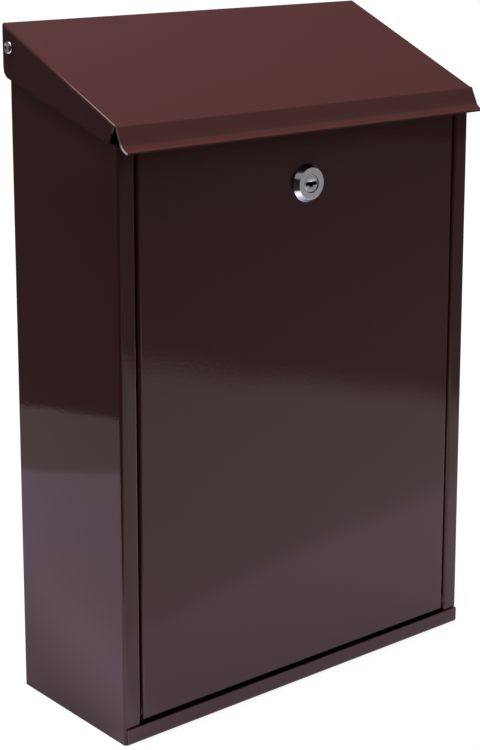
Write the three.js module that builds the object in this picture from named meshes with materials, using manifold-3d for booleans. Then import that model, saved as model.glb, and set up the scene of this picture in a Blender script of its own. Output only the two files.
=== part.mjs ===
// Wall mounted mailbox in folded, painted sheet steel.
//
// One folded sheet makes the back, the sides and the front stiles. A bottom pan and a top rail
// close it, a sloping lid swings on two blind rivets at the rear, and a shallow door swings
// down on two pins at its foot and is held by a cam lock under the lid.
//
// Units are millimetres, X runs to the viewer's right, Y towards the wall and Z up. Shapes are
// drawn with Y = 0 on the back panel and Z = 0 under the box, and the whole box is then moved
// so that the origin lies on the wall, in the middle of the four wall screws.

import * as THREE from 'three';
import { mergeVertices } from 'three/addons/utils/BufferGeometryUtils.js';
import Module from 'manifold-3d';

const wasm = await Module();
wasm.setup();

// ---------------------------------------------------------------- driving sizes

// Sheet metal
const sheet = 1.0;
const foldInside = 0.8;
const clearance = 0.3;
const foldSteps = 3;

// Body
const bodyWidth = 260;
const bodyDepth = 100;
const frontHeight = 332;
const stileWidth = 11;
const stileReturn = 12;

// Wall bosses, pressed out of the back panel round the four screw holes
const wallGap = 10;
const bossSpacingX = 190;
const bossSpacingZ = 260;
const bossBottom = 55;
const bossBaseRadius = 24;
const bossFaceRadius = 13;
const bossFillet = 3;
const screwHoleRadius = 3.5;

// Lid: roof, skirts, leaning front flange and curved lip
const roofAngle = 23.7;
const foldForward = 1.2;
const foldRise = 9.5;
const lidGap = 0.6;
const lidBehind = 3.6;
const skirtFront = 12.6;
const skirtRear = 29;
const skirtSetback = 7;
const earRadius = 5.5;
const flangeDrop = 9;
const flangeLean = 4.3;
const lipLength = 6.45;
const lipAngle = 50;
const lipTurn = 35;
const lipFolds = 3;

// Lid pivots
const pivotBehind = 6.4;
const pivotDrop = 10.3;
const lugBehind = 2.6;
const lugLength = 12.5;
const cornerNotch = 5.2;
const lidRivetRadius = 1.9;
const lidRivetHeadRadius = 3.5;
const lidRivetHeadHeight = 1.5;
const lidRivetTailRadius = 3;
const lidRivetTailLength = 2;
const mandrelRadius = 1.1;
const backingWasherRadius = 4.5;
const backingWasherThickness = 1;

// Bottom pan
const panFlange = 9.3;
const panFrontGap = 0.4;
const panSetback = 1.2;

// Top rail
const railDrop = 24.3;
const railTab = 12;

// Door
const doorGap = 1.5;
const doorFootGap = 1.7;
const doorTopGap = 4;
const doorDepth = 15;
const doorSlit = 0.6;
const hingeInset = 5;
const hingeRise = 6;
const hingePinRadius = 2;
const hingeHeadRadius = 3.4;
const hingeHeadHeight = 1.6;
const hingeTailRadius = 3.4;
const hingeTailLength = 1.5;
const hingeWasherRadius = 4.5;

// Cam lock
const lockBelowTop = 30;
const lockHeadRadius = 11;
const lockFaceRadius = 9;
const lockHeadHeight = 3.8;
const lockRim = 0.8;
const barrelRadius = 8;
const barrelFlats = 13;
const plugRadius = 5;
const plugRecess = 0.4;
const keywayWidth = 7.4;
const keywayHeight = 1.8;
const keywayDepth = 9;
const wardWidth = 2.4;
const nutFlats = 20;
const nutThickness = 4;
const lockWasherRadius = 10.6;
const lockWasherTeeth = 16;
const camThickness = 2;
const camReach = 23;
const camWidth = 13;
const camHubRadius = 8.5;
const tenonWidth = 6;
const camScrewRadius = 1.8;
const camScrewLength = 7.4;
const camScrewHeadRadius = 3.6;
const camScrewHeadHeight = 2.4;
const camWasherRadius = 5;

// ---------------------------------------------------------------- worked out from them

const halfWidth = bodyWidth / 2;
const insideHalf = halfWidth - sheet;
const fittedHalf = insideHalf - clearance;
const doorwayHalf = halfWidth - stileWidth;
const foldOutside = foldInside + sheet;
const frontY = -bodyDepth;

const roofSlope = Math.tan(THREE.MathUtils.degToRad(roofAngle));
const roofCos = Math.cos(THREE.MathUtils.degToRad(roofAngle));
const roofSin = Math.sin(THREE.MathUtils.degToRad(roofAngle));
const foldY = frontY - foldForward;
const foldZ = frontHeight + foldRise;
const roofZ = (y) => foldZ + (y - foldY) * roofSlope;
const underRoofZ = (y) => roofZ(y) - (sheet + clearance) / roofCos;
const lidHalf = halfWidth + lidGap + sheet;

const pivotY = lidBehind - pivotBehind;
const pivotZ = roofZ(pivotY) - pivotDrop;
const pivotBore = lidRivetRadius + clearance;
const lugRadius = pivotDrop * roofCos - sheet - clearance;
const notchZ = pivotZ - lugLength;
const backTop = pivotZ + Math.sqrt(lugRadius ** 2 - pivotY ** 2) - clearance;

const doorHalf = doorwayHalf - doorGap;
const doorFoot = panFlange + doorFootGap;
const doorTop = frontHeight - doorTopGap;
const doorBackY = frontY + doorDepth;
const hingeY = frontY + hingeInset;
const hingeZ = doorFoot + hingeRise;
const hingeBore = hingePinRadius + clearance;

const railFrontY = doorBackY + clearance;
const railBackY = railFrontY + sheet;
const railTop = frontHeight - clearance;
const railFoot = frontHeight - railDrop;

const lockZ = doorTop - lockBelowTop;
const headBackY = frontY - clearance;
const headFrontY = headBackY - lockHeadHeight;
const camFrontY = railBackY + 0.4;
const barrelEndY = camFrontY - clearance;
const camBackY = camFrontY + camThickness;
const barrelBore = plugRadius + clearance;

// ---------------------------------------------------------------- outlines

// A closed outline from corners [x, y, radius], with each corner rounded by its radius.
function roundedOutline(corners) {
  const points = [];
  corners.forEach(([x, y, radius = 0], i) => {
    const corner = new THREE.Vector2(x, y);
    const last = corners[(i + corners.length - 1) % corners.length];
    const next = corners[(i + 1) % corners.length];
    const arc = bendArc(new THREE.Vector2(last[0], last[1]), corner, new THREE.Vector2(next[0], next[1]), radius);
    points.push(...arc.map((sample) => sample.point));
  });
  return new THREE.Shape(distinct(points));
}

// Arcs that meet end to end share a point, which is kept once.
function distinct(points) {
  return points.filter((point, i) => point.distanceTo(points[(i + 1) % points.length]) > 1e-6);
}

// Points along one rounded corner, each with the direction of travel turned a right angle clockwise.
function bendArc(from, corner, to, radius) {
  const incoming = corner.clone().sub(from).normalize();
  const outgoing = to.clone().sub(corner).normalize();
  const turn = Math.atan2(incoming.cross(outgoing), incoming.dot(outgoing));
  const right = (direction) => new THREE.Vector2(direction.y, -direction.x);
  if (radius === 0) {
    return [{ point: corner.clone(), normal: right(incoming.clone().add(outgoing).normalize()) }];
  }
  const start = corner.clone().addScaledVector(incoming, -radius * Math.tan(Math.abs(turn) / 2));
  const centre = start.clone().addScaledVector(right(incoming), -Math.sign(turn) * radius);
  const steps = Math.max(1, Math.ceil((Math.abs(turn) / (Math.PI / 2)) * foldSteps));
  return Array.from({ length: steps + 1 }, (_, k) => {
    const swept = (turn * k) / steps;
    return {
      point: start.clone().rotateAround(centre, swept),
      normal: right(incoming).rotateAround(new THREE.Vector2(), swept),
    };
  });
}

// The section of a folded sheet. The path runs along one face, and the metal lies to its right.
// Each inner point is a fold, whose inside radius is its third number or else foldInside.
function foldedSection(path, thickness = sheet) {
  const at = (i) => new THREE.Vector2(path[i][0], path[i][1]);
  const samples = [];
  path.forEach((fold, i) => {
    if (i === 0 || i === path.length - 1) {
      const direction = i === 0 ? at(1).sub(at(0)) : at(i).sub(at(i - 1));
      direction.normalize();
      samples.push({ point: at(i), normal: new THREE.Vector2(direction.y, -direction.x) });
      return;
    }
    const inside = fold[2] ?? foldInside;
    const towardsMetal = at(i).sub(at(i - 1)).cross(at(i + 1).sub(at(i))) < 0;
    samples.push(...bendArc(at(i - 1), at(i), at(i + 1), towardsMetal ? inside + thickness : inside));
  });
  const face = samples.map((sample) => sample.point);
  const otherFace = samples.map((sample) => sample.point.clone().addScaledVector(sample.normal, thickness));
  return new THREE.Shape(distinct([...face, ...otherFace.reverse()]));
}

function circleOutline(x, y, radius, segments = 24) {
  const points = Array.from({ length: segments }, (_, k) => {
    const angle = (2 * Math.PI * k) / segments;
    return new THREE.Vector2(x + radius * Math.cos(angle), y + radius * Math.sin(angle));
  });
  return new THREE.Shape(points);
}

// ---------------------------------------------------------------- solids

// A closed geometry as a solid that can be joined and cut.
function solid(geometry) {
  geometry.deleteAttribute('normal');
  geometry.deleteAttribute('uv');
  const merged = mergeVertices(geometry, 1e-4);
  const position = merged.attributes.position;
  const index = Array.from(merged.index.array);
  const corner = (i) => new THREE.Vector3().fromBufferAttribute(position, i);
  const triangles = [];
  let volume = 0;
  for (let i = 0; i < index.length; i += 3) {
    const [a, b, c] = index.slice(i, i + 3);
    if (a === b || b === c || c === a) continue;
    triangles.push([a, b, c]);
    volume += corner(a).dot(corner(b).cross(corner(c)));
  }
  const outward = volume > 0 ? triangles : triangles.map(([a, b, c]) => [a, c, b]);
  return new wasm.Manifold(new wasm.Mesh({
    numProp: 3,
    vertProperties: new Float32Array(position.array),
    triVerts: new Uint32Array(outward.flat()),
  }));
}

// A shape drawn in two axes and extruded along the third: [first axis, second axis, extruded].
function extrudeAlong(axes, shape, from, to) {
  const geometry = new THREE.ExtrudeGeometry(shape, { depth: to - from, bevelEnabled: false });
  geometry.translate(0, 0, from);
  const unit = {
    x: new THREE.Vector3(1, 0, 0),
    y: new THREE.Vector3(0, 1, 0),
    z: new THREE.Vector3(0, 0, 1),
  };
  geometry.applyMatrix4(new THREE.Matrix4().makeBasis(unit[axes[0]], unit[axes[1]], unit[axes[2]]));
  return solid(geometry);
}

const extrudeX = (shape, from, to) => extrudeAlong('yzx', shape, from, to);
const extrudeZ = (shape, from, to) => extrudeAlong('xyz', shape, from, to);

// A shape drawn as seen from the front, in X and Z, and extruded from one Y to another.
function extrudeY(shape, from, to) {
  const geometry = new THREE.ExtrudeGeometry(shape, { depth: to - from, bevelEnabled: false });
  geometry.rotateX(Math.PI / 2);
  geometry.translate(0, to, 0);
  return solid(geometry);
}

function block(low, high) {
  const size = high.map((value, i) => value - low[i]);
  const geometry = new THREE.BoxGeometry(...size);
  geometry.translate(...low.map((value, i) => value + size[i] / 2));
  return solid(geometry);
}

// A profile of [radius, distance] turned about the Y axis, as lock parts and bosses are.
function turnedY(profile, x, z, segments = 24) {
  const points = profile.map(([radius, y]) => new THREE.Vector2(radius, y));
  if (profile[0][0] > 0) points.push(points[0].clone());
  const geometry = new THREE.LatheGeometry(points, segments);
  geometry.translate(x, 0, z);
  return solid(geometry);
}

// A profile of [radius, distance outwards] turned about an axis along X, on the given side.
function turnedX(profile, side, y, z, segments = 16) {
  const points = profile.map(([radius, distance]) => new THREE.Vector2(radius, distance));
  if (profile[0][0] > 0) points.push(points[0].clone());
  const geometry = new THREE.LatheGeometry(points, segments);
  geometry.rotateZ((-side * Math.PI) / 2);
  geometry.translate(0, y, z);
  return solid(geometry);
}

const mirrored = (make) => make(-1).add(make(1));

// ---------------------------------------------------------------- body

// Back, sides and front stiles, folded from one sheet, before it is trimmed.
function bodyWrap() {
  const path = [
    [-doorwayHalf, frontY + stileReturn],
    [-doorwayHalf, frontY],
    [-halfWidth, frontY],
    [-halfWidth, 0],
    [halfWidth, 0],
    [halfWidth, frontY],
    [doorwayHalf, frontY],
    [doorwayHalf, frontY + stileReturn],
  ];
  return extrudeZ(foldedSection(path), 0, roofZ(0));
}

// The side as seen from the right: stepped down at the stile, then parallel to the lid.
function sideOutline() {
  const stepY = foldY + skirtSetback + sheet;
  return roundedOutline([
    [frontY, 0],
    [0, 0],
    [0, underRoofZ(0)],
    [stepY, underRoofZ(stepY)],
    [stepY, frontHeight, foldInside],
    [frontY, frontHeight],
  ]);
}

// The lug that carries the lid's pivot, rounded about it so that the lid clears it as it swings.
function hingeLug(side) {
  const plateOutside = side * halfWidth;
  const plateInside = side * insideHalf;
  const outline = roundedOutline([
    [-lugLength, notchZ],
    [0, notchZ],
    [lugBehind, notchZ + lugBehind],
    [lugBehind, roofZ(0)],
    [-lugLength, roofZ(0)],
  ]);
  const [low, high] = [plateOutside, plateInside].sort((a, b) => a - b);
  const plate = extrudeX(outline, low, high);
  const belowPivot = block([low - 1, -lugLength - 1, notchZ - 1], [high + 1, lugBehind + 1, pivotZ]);
  const inFront = extrudeX(
    new THREE.Shape([
      new THREE.Vector2(-lugLength - 1, pivotZ),
      new THREE.Vector2(pivotY, pivotZ),
      new THREE.Vector2(pivotY - lugRadius * roofSin, pivotZ + lugRadius * roofCos),
      new THREE.Vector2(-lugLength - 1, underRoofZ(-lugLength - 1)),
    ]),
    low - 1,
    high + 1,
  );
  const aboutPivot = extrudeX(circleOutline(pivotY, pivotZ, lugRadius, 32), low - 1, high + 1);
  return plate.intersect(belowPivot.add(inFront).add(aboutPivot));
}

// One wall boss: a cone pressed out of the back panel, ending in a flat face with a screw hole.
function wallBoss(x, z) {
  const rim = bossBaseRadius + bossFillet;
  const outer = [
    [rim, 0],
    [bossBaseRadius, 0],
    [bossBaseRadius - bossFillet / 2, bossFillet / 4],
    [bossFaceRadius + bossFillet / 3, wallGap - bossFillet / 4],
    [bossFaceRadius, wallGap],
    [screwHoleRadius, wallGap],
  ];
  const inner = outer.map(([radius, y]) => [radius, y - sheet]).reverse();
  inner[1][0] -= sheet / 2;
  inner[2][0] -= sheet / 2;
  inner[3][0] -= sheet / 2;
  return turnedY([...outer, ...inner], x, z, 28);
}

function bodyShell() {
  let body = bodyWrap().intersect(extrudeX(sideOutline(), -halfWidth - 1, halfWidth + 1));
  body = body.subtract(block([-insideHalf, -sheet * 2, backTop], [insideHalf, sheet, foldZ * 2]));
  for (const side of [-1, 1]) {
    const [low, high] = [side * (halfWidth + 1), side * (halfWidth - cornerNotch)].sort((a, b) => a - b);
    body = body.subtract(block([low, -lugLength, notchZ], [high, lugBehind + 1, foldZ * 2]));
    body = body.add(hingeLug(side));
    body = body.subtract(extrudeX(circleOutline(pivotY, pivotZ, pivotBore, 16), low, high));
    const [left, right] = [side * (doorwayHalf - 1), side * (doorwayHalf + sheet + 1)].sort((a, b) => a - b);
    body = body.subtract(extrudeX(circleOutline(hingeY, hingeZ, hingeBore, 16), left, right));
    for (const z of [bossBottom, bossBottom + bossSpacingZ]) {
      const x = (side * bossSpacingX) / 2;
      body = body.subtract(extrudeY(circleOutline(x, z, bossBaseRadius + bossFillet / 2, 28), -sheet * 2, sheet));
      body = body.add(wallBoss(x, z));
    }
  }
  const returnsBack = frontY + stileReturn + 1;
  const underStiles = block([-insideHalf, frontY - 1, -1], [insideHalf, returnsBack, sheet + clearance]);
  const overStiles = block([-insideHalf, frontY - 1, frontHeight], [insideHalf, returnsBack, foldZ * 2]);
  return body.subtract(underStiles).subtract(overStiles);
}

// The pan closes the bottom. Its front flange stands outside the stiles, the others inside.
function bottomPan() {
  const flangeY = frontY - panFrontGap - sheet;
  const rearY = -sheet - clearance;
  const frontToBack = foldedSection([
    [rearY, panFlange],
    [rearY, 0],
    [flangeY, 0],
    [flangeY, panFlange],
  ]);
  const sideToSide = foldedSection([
    [fittedHalf, panFlange],
    [fittedHalf, 0],
    [-fittedHalf, 0],
    [-fittedHalf, panFlange],
  ]);
  const flangeRoom = foldOutside + sheet;
  const betweenSides = (side) => {
    const [low, high] = [side * fittedHalf, side * (halfWidth + 1)].sort((a, b) => a - b);
    return block([low, frontY - clearance, -1], [high, 1, panFlange + 1]);
  };
  return extrudeX(frontToBack, panSetback - halfWidth, halfWidth - panSetback)
    .subtract(mirrored(betweenSides))
    .add(extrudeY(sideToSide, frontY + flangeRoom, rearY - flangeRoom));
}

// The rail over the door: its upright stops the door and keeps the cam, its top carries the mouth.
function topRail() {
  const section = foldedSection([
    [frontY + sheet + clearance, railTop],
    [railBackY, railTop],
    [railBackY, railFoot],
  ]);
  const plan = foldedSection([
    [fittedHalf, railFrontY + railTab],
    [fittedHalf, railFrontY],
    [-fittedHalf, railFrontY],
    [-fittedHalf, railFrontY + railTab],
  ]);
  const besideStiles = (side) => {
    const [low, high] = [side * (doorwayHalf - clearance), side * halfWidth].sort((a, b) => a - b);
    return block([low, frontY, railFoot - 1], [high, frontY + stileReturn + clearance, railTop + 1]);
  };
  const betweenFolds = fittedHalf - foldOutside;
  return extrudeX(section, -betweenFolds, betweenFolds)
    .subtract(mirrored(besideStiles))
    .add(extrudeZ(plan, railFoot, railTop - foldOutside));
}

// ---------------------------------------------------------------- lid

// Sections across the roof, drawn square to it and swept along its slope.
function alongRoof(half, radius, lift) {
  const section = roundedOutline([
    [-half, -bodyDepth],
    [half, -bodyDepth],
    [half, lift, radius],
    [-half, lift, radius],
  ]);
  const length = bodyDepth * 2;
  const geometry = new THREE.ExtrudeGeometry(section, { depth: length, bevelEnabled: false });
  geometry.translate(0, 0, -length / 2);
  const across = new THREE.Vector3(1, 0, 0);
  const square = new THREE.Vector3(0, -roofSin, roofCos);
  geometry.applyMatrix4(new THREE.Matrix4().makeBasis(across, square, across.clone().cross(square)));
  geometry.translate(0, foldY / 2, roofZ(foldY / 2));
  return solid(geometry);
}

// The lid as seen from the right: roof, tapering skirt, rounded ear at the rear.
function lidSideOutline(startY) {
  const skirtY = foldY + skirtSetback;
  return roundedOutline([
    [startY, roofZ(startY) + 1],
    [startY, roofZ(startY) - sheet / roofCos],
    [skirtY, roofZ(skirtY) - skirtFront],
    [lidBehind, roofZ(lidBehind) - skirtRear, earRadius],
    [lidBehind, roofZ(lidBehind) + 1],
  ]);
}

// The leaning flange and the lip, which curves forward in short folds until it is nearly level.
function lidFront(startY) {
  const path = [
    [startY, roofZ(startY)],
    [foldY, foldZ],
    [foldY - flangeLean, foldZ - flangeDrop],
  ];
  for (let fold = 0; fold < lipFolds; fold += 1) {
    const angle = THREE.MathUtils.degToRad(lipAngle - (lipTurn * fold) / (lipFolds - 1));
    const [y, z] = path[path.length - 1];
    const step = lipLength / lipFolds;
    path.push([y - step * Math.cos(angle), z - step * Math.sin(angle)]);
  }
  const section = foldedSection(path.reverse());
  return extrudeX(section, -lidHalf, lidHalf);
}

function lid() {
  const joinY = foldY + foldOutside;
  const outside = alongRoof(lidHalf, foldOutside, 0).intersect(
    extrudeX(lidSideOutline(joinY), -lidHalf - 1, lidHalf + 1),
  );
  const inside = alongRoof(lidHalf - sheet, foldInside, -sheet);
  const pivotHole = (side) => {
    const [low, high] = [side * (lidHalf + 1), side * (halfWidth - 1)].sort((a, b) => a - b);
    return extrudeX(circleOutline(pivotY, pivotZ, pivotBore, 16), low, high);
  };
  return outside.subtract(inside).add(lidFront(joinY)).subtract(mirrored(pivotHole));
}

// Blind rivet on each side: domed head outside the ear, set tail inside the body.
function lidRivet(side) {
  const head = lidHalf + clearance;
  const tail = insideHalf - clearance * 2 - backingWasherThickness;
  return turnedX([
    [0, tail - lidRivetTailLength],
    [lidRivetTailRadius * 0.7, tail - lidRivetTailLength],
    [lidRivetTailRadius, tail - lidRivetTailLength / 2],
    [lidRivetTailRadius * 0.85, tail],
    [lidRivetRadius, tail],
    [lidRivetRadius, head],
    [lidRivetHeadRadius, head],
    [lidRivetHeadRadius * 0.94, head + lidRivetHeadHeight * 0.45],
    [lidRivetHeadRadius * 0.7, head + lidRivetHeadHeight * 0.85],
    [mandrelRadius * 1.3, head + lidRivetHeadHeight],
    [mandrelRadius, head + lidRivetHeadHeight * 0.85],
    [mandrelRadius, head + lidRivetHeadHeight * 0.4],
    [0, head + lidRivetHeadHeight * 0.4],
  ], side, pivotY, pivotZ, 20);
}

function backingWasher(side) {
  const outer = insideHalf - clearance;
  const inner = outer - backingWasherThickness;
  return ringX(pivotBore, backingWasherRadius, inner, outer, side, pivotY, pivotZ);
}

function ringX(bore, radius, inner, outer, side, y, z) {
  return turnedX([[bore, inner], [radius, inner], [radius, outer], [bore, outer]], side, y, z, 20);
}

// ---------------------------------------------------------------- door

// A box with rounded front edges, which is the door's outside or its hollow.
function roundedFrontBox(half, foot, top, front, back, radius) {
  const plan = roundedOutline([
    [-half, back],
    [-half, front, radius],
    [half, front, radius],
    [half, back],
  ]);
  const side = roundedOutline([
    [back, foot],
    [back, top],
    [front, top, radius],
    [front, foot, radius],
  ]);
  return extrudeZ(plan, foot, top).intersect(extrudeX(side, -half, half));
}

// The hole that keeps the lock from turning: a circle with two flats.
function flattedCircle(radius, flats, x, z) {
  const limit = Math.asin(flats / 2 / radius);
  const steps = 8;
  const points = [];
  for (const centre of [0, Math.PI]) {
    for (let k = 0; k <= steps; k += 1) {
      const angle = centre - limit + (2 * limit * k) / steps;
      points.push(new THREE.Vector2(x + radius * Math.cos(angle), z + radius * Math.sin(angle)));
    }
  }
  return new THREE.Shape(points);
}

function doorPanel() {
  const outside = roundedFrontBox(doorHalf, doorFoot, doorTop, frontY, doorBackY, foldOutside);
  const hollow = roundedFrontBox(
    doorHalf - sheet, doorFoot + sheet, doorTop - sheet, frontY + sheet, doorBackY + 1, foldInside,
  );
  let door = outside.subtract(hollow);
  const lockHole = flattedCircle(barrelRadius + clearance, barrelFlats + 2 * clearance, 0, lockZ);
  door = door.subtract(extrudeY(lockHole, frontY - 1, frontY + 2 * sheet));
  for (const side of [-1, 1]) {
    const [low, high] = [side * (doorHalf + 1), side * (doorHalf - 2 * sheet)].sort((a, b) => a - b);
    door = door.subtract(extrudeX(circleOutline(hingeY, hingeZ, hingeBore, 16), low, high));
    for (const z of [doorFoot + sheet, doorTop - sheet]) {
      const slitX = side * (doorHalf - sheet - doorSlit / 2);
      const reach = sheet + 1;
      door = door.subtract(block(
        [slitX - doorSlit / 2, frontY + foldOutside, z - reach],
        [slitX + doorSlit / 2, doorBackY + 1, z + reach],
      ));
    }
  }
  return door;
}

// Riveted pin that carries the door: head inside the door, tail behind the stile's return.
function doorHingePin(side) {
  const head = doorHalf - sheet - clearance;
  const tail = doorwayHalf + sheet + clearance;
  return turnedX([
    [0, head - hingeHeadHeight],
    [hingeHeadRadius * 0.6, head - hingeHeadHeight * 0.9],
    [hingeHeadRadius * 0.92, head - hingeHeadHeight * 0.5],
    [hingeHeadRadius, head],
    [hingePinRadius, head],
    [hingePinRadius, tail],
    [hingeTailRadius, tail],
    [hingeTailRadius * 0.8, tail + hingeTailLength],
    [0, tail + hingeTailLength],
  ], side, hingeY, hingeZ);
}

function doorHingeWasher(side) {
  return ringX(hingeBore, hingeWasherRadius, doorHalf + clearance, doorwayHalf - clearance, side, hingeY, hingeZ);
}

// ---------------------------------------------------------------- cam lock

// Head with a short rim and a bevel, and a barrel with two flats.
function lockHousing() {
  const housing = turnedY([
    [barrelBore, headFrontY],
    [lockFaceRadius, headFrontY],
    [lockHeadRadius, headBackY - lockRim],
    [lockHeadRadius, headBackY],
    [barrelRadius, headBackY],
    [barrelRadius, barrelEndY],
    [barrelBore, barrelEndY],
  ], 0, lockZ, 40);
  const aboveFlat = (side) => {
    const z = [side * (barrelFlats / 2), side * (barrelRadius + 1)].sort((a, b) => a - b);
    return block(
      [-barrelRadius - 1, headBackY, lockZ + z[0]],
      [barrelRadius + 1, barrelEndY + 1, lockZ + z[1]],
    );
  };
  return housing.subtract(mirrored(aboveFlat));
}

// Plug with a warded keyway in front and a square tenon for the cam behind.
function lockPlug() {
  const faceY = headFrontY + plugRecess;
  const barrel = turnedY([
    [0, faceY],
    [plugRadius - plugRecess, faceY],
    [plugRadius, faceY + plugRecess],
    [plugRadius, barrelEndY],
    [0, barrelEndY],
  ], 0, lockZ, 28);
  const tenonHalf = tenonWidth / 2;
  const tenon = block(
    [-tenonHalf, barrelEndY - 1, lockZ - tenonHalf],
    [tenonHalf, camBackY - clearance, lockZ + tenonHalf],
  );
  const keyway = block(
    [-keywayWidth / 2, faceY - 1, lockZ - keywayHeight / 2],
    [keywayWidth / 2, faceY + keywayDepth, lockZ + keywayHeight / 2],
  );
  const ward = block(
    [-wardWidth / 2, faceY - 1, lockZ - keywayHeight],
    [wardWidth / 2, faceY + keywayDepth, lockZ],
  );
  const screwHole = extrudeY(
    circleOutline(0, lockZ, camScrewRadius + clearance, 16),
    camBackY - camScrewLength,
    camBackY + 1,
  );
  return barrel.add(tenon).subtract(keyway.add(ward)).subtract(screwHole);
}

function lockWasher() {
  const points = [];
  for (let k = 0; k < lockWasherTeeth * 2; k += 1) {
    const angle = (Math.PI * k) / lockWasherTeeth;
    const radius = k % 2 ? lockWasherRadius : lockWasherRadius - 1;
    points.push(new THREE.Vector2(radius * Math.cos(angle), lockZ + radius * Math.sin(angle)));
  }
  const shape = new THREE.Shape(points);
  const bore = extrudeY(circleOutline(0, lockZ, barrelRadius + clearance, 32), frontY, doorBackY);
  const washerY = frontY + sheet + clearance;
  return extrudeY(shape, washerY, washerY + sheet).subtract(bore);
}

function lockNut() {
  const nutY = frontY + 2 * (sheet + clearance);
  const hexagon = circleOutline(0, lockZ, nutFlats / Math.sqrt(3), 6);
  const bore = extrudeY(circleOutline(0, lockZ, barrelRadius + clearance, 32), nutY - 1, nutY + nutThickness + 1);
  return extrudeY(hexagon, nutY, nutY + nutThickness).subtract(bore);
}

// The cam lies level when the lock is open and points up behind the rail when it is shut.
function lockCam() {
  const hub = extrudeY(circleOutline(0, lockZ, camHubRadius, 28), camFrontY, camBackY);
  const arm = extrudeY(roundedOutline([
    [0, lockZ - camWidth / 2],
    [camReach, lockZ - camWidth / 2, camWidth / 4],
    [camReach, lockZ + camWidth / 2, camWidth / 4],
    [0, lockZ + camWidth / 2],
  ]), camFrontY, camBackY);
  const holeHalf = tenonWidth / 2 + clearance;
  const hole = block(
    [-holeHalf, camFrontY - 1, lockZ - holeHalf],
    [holeHalf, camBackY + 1, lockZ + holeHalf],
  );
  return hub.add(arm).subtract(hole);
}

function camWasher() {
  const washerY = camBackY + clearance;
  return turnedY([
    [camScrewRadius + clearance, washerY],
    [camWasherRadius, washerY],
    [camWasherRadius, washerY + sheet],
    [camScrewRadius + clearance, washerY + sheet],
  ], 0, lockZ, 20);
}

function camScrew() {
  const seatY = camBackY + sheet + 2 * clearance;
  const slotHalf = 0.5;
  const screw = turnedY([
    [0, seatY - camScrewLength],
    [camScrewRadius, seatY - camScrewLength],
    [camScrewRadius, seatY],
    [camScrewHeadRadius, seatY],
    [camScrewHeadRadius, seatY + camScrewHeadHeight * 0.5],
    [camScrewHeadRadius * 0.75, seatY + camScrewHeadHeight],
    [0, seatY + camScrewHeadHeight],
  ], 0, lockZ, 20);
  const arm = camScrewHeadRadius * 0.6;
  const slot = (half, height) => block(
    [-half, seatY + camScrewHeadHeight * 0.4, lockZ - height],
    [half, seatY + camScrewHeadHeight + 1, lockZ + height],
  );
  return screw.subtract(slot(arm, slotHalf)).subtract(slot(slotHalf, arm));
}

// ---------------------------------------------------------------- assembly

const material = (colour, roughness, metalness) =>
  new THREE.MeshStandardMaterial({ color: colour, roughness, metalness, flatShading: true });

const brownPaint = material(0x4a302d, 0.28, 0);
const chromePlate = material(0xc9cbd0, 0.16, 1);
const zincPlate = material(0xa9adb2, 0.38, 1);
const aluminium = material(0xc4c6c8, 0.34, 1);
const steel = material(0x9b9d9f, 0.42, 1);
const blackPlastic = material(0x141313, 0.5, 0);

const mailbox = new THREE.Group();
mailbox.position.set(0, -wallGap, -(bossBottom + bossSpacingZ / 2));

function piece(name, shape, surface) {
  const { vertProperties, triVerts } = shape.getMesh();
  const geometry = new THREE.BufferGeometry();
  geometry.setAttribute('position', new THREE.BufferAttribute(new Float32Array(vertProperties), 3));
  geometry.setIndex(new THREE.BufferAttribute(new Uint32Array(triVerts), 1));
  geometry.computeVertexNormals();
  const mesh = new THREE.Mesh(geometry, surface);
  mesh.name = name;
  mailbox.add(mesh);
}

piece('body_shell', bodyShell(), brownPaint);
piece('bottom_pan', bottomPan(), brownPaint);
piece('top_rail', topRail(), brownPaint);
piece('lid', lid(), brownPaint);
piece('door_panel', doorPanel(), brownPaint);

for (const [label, side] of [['left', -1], ['right', 1]]) {
  piece(`lid_rivet_${label}`, lidRivet(side), aluminium);
  piece(`lid_backing_washer_${label}`, backingWasher(side), zincPlate);
  piece(`door_hinge_pin_${label}`, doorHingePin(side), steel);
  piece(`door_hinge_washer_${label}`, doorHingeWasher(side), blackPlastic);
}

piece('lock_housing', lockHousing(), chromePlate);
piece('lock_plug', lockPlug(), chromePlate);
piece('lock_washer', lockWasher(), zincPlate);
piece('lock_nut', lockNut(), zincPlate);
piece('lock_cam', lockCam(), zincPlate);
piece('cam_washer', camWasher(), zincPlate);
piece('cam_screw', camScrew(), zincPlate);

export default mailbox;
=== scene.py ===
import math

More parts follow.
